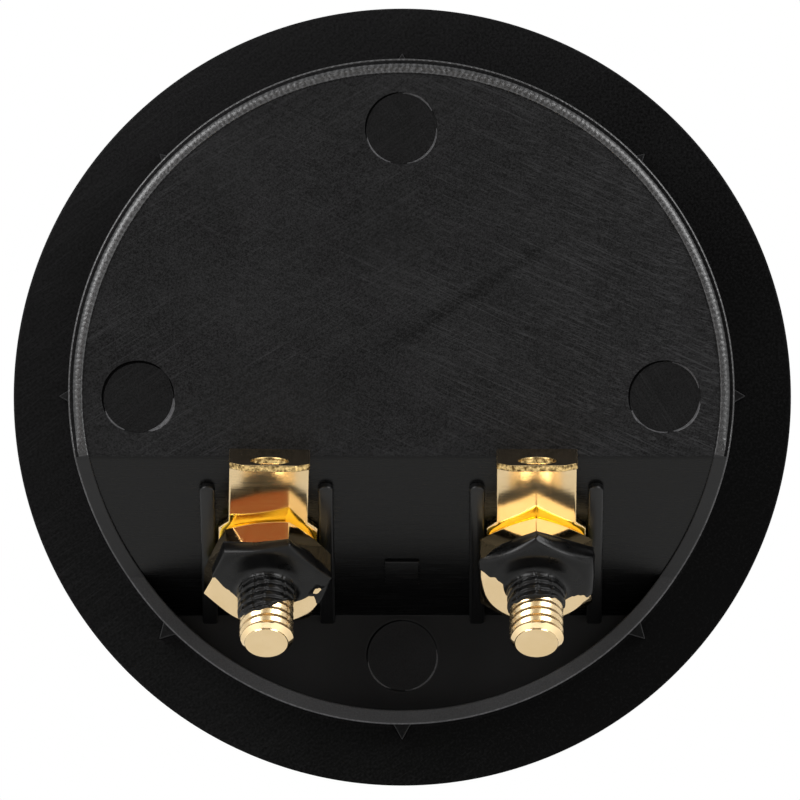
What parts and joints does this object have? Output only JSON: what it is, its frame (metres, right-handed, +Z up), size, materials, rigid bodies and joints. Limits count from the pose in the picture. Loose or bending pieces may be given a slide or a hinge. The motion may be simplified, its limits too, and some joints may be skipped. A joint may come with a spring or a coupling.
{
  "type": "speaker terminal cup",
  "caption": "Round recessed plastic cup with a flange and a slanted wall that carries gold-plated binding posts, joining speaker wires through a cabinet panel.",
  "frame": {"origin": "centre of the flange's rear face, on the cup's axis", "axes": "+Y out of the cabinet along the cup's axis, +Z up, +X to the right seen from the cabinet side"},
  "size_m": [0.073, 0.0383, 0.073],
  "materials": {
    "black_shell": "satin moulded",
    "gold_plate": "bright gold plate",
    "red_plastic": "gloss",
    "black_trim": "gloss",
    "black_lacquer": "brushed lacquer"
  },
  "bodies": {
    "cup": {"cup_shell": "black_shell", "left_binding_post": "gold_plate", "left_polarity_washer": "red_plastic", "left_solder_tab": "gold_plate", "left_hex_nut": "gold_plate", "left_locking_lacquer": "black_lacquer", "right_binding_post": "gold_plate", "right_polarity_washer": "black_trim", "right_solder_tab": "gold_plate", "right_hex_nut": "gold_plate", "right_locking_lacquer": "black_lacquer"},
    "left_clamp": {"left_clamp_washer": "gold_plate"},
    "left_knob": {"left_thumb_knob": "gold_plate", "left_knob_ring": "red_plastic"},
    "right_clamp": {"right_clamp_washer": "gold_plate"},
    "right_knob": {"right_thumb_knob": "gold_plate", "right_knob_ring": "black_trim"}
  },
  "joints": [
    {"name": "left_clamp_slide", "type": "slide", "parent": "cup", "child": "left_clamp", "axis": [0, 0.6428, 0.766], "range_m": [0, 0.0045]},
    {"name": "left_knob_turn", "type": "hinge", "parent": "left_clamp", "child": "left_knob", "pos_m": [-0.0125, -0.00373, -0.01021], "axis": [0, 0.6428, 0.766], "range_deg": [0, 1619]},
    {"name": "right_clamp_slide", "type": "slide", "parent": "cup", "child": "right_clamp", "axis": [0, 0.6428, 0.766], "range_m": [0, 0.0045]},
    {"name": "right_knob_turn", "type": "hinge", "parent": "right_clamp", "child": "right_knob", "pos_m": [0.0125, -0.00373, -0.01021], "axis": [0, 0.6428, 0.766], "range_deg": [0, 1619]}
  ],
  "couplings": [
    {"joint": "left_clamp_slide", "follows": "left_knob_turn", "m_per_rad": 0.00015915},
    {"joint": "right_clamp_slide", "follows": "right_knob_turn", "m_per_rad": 0.00015915}
  ]
}
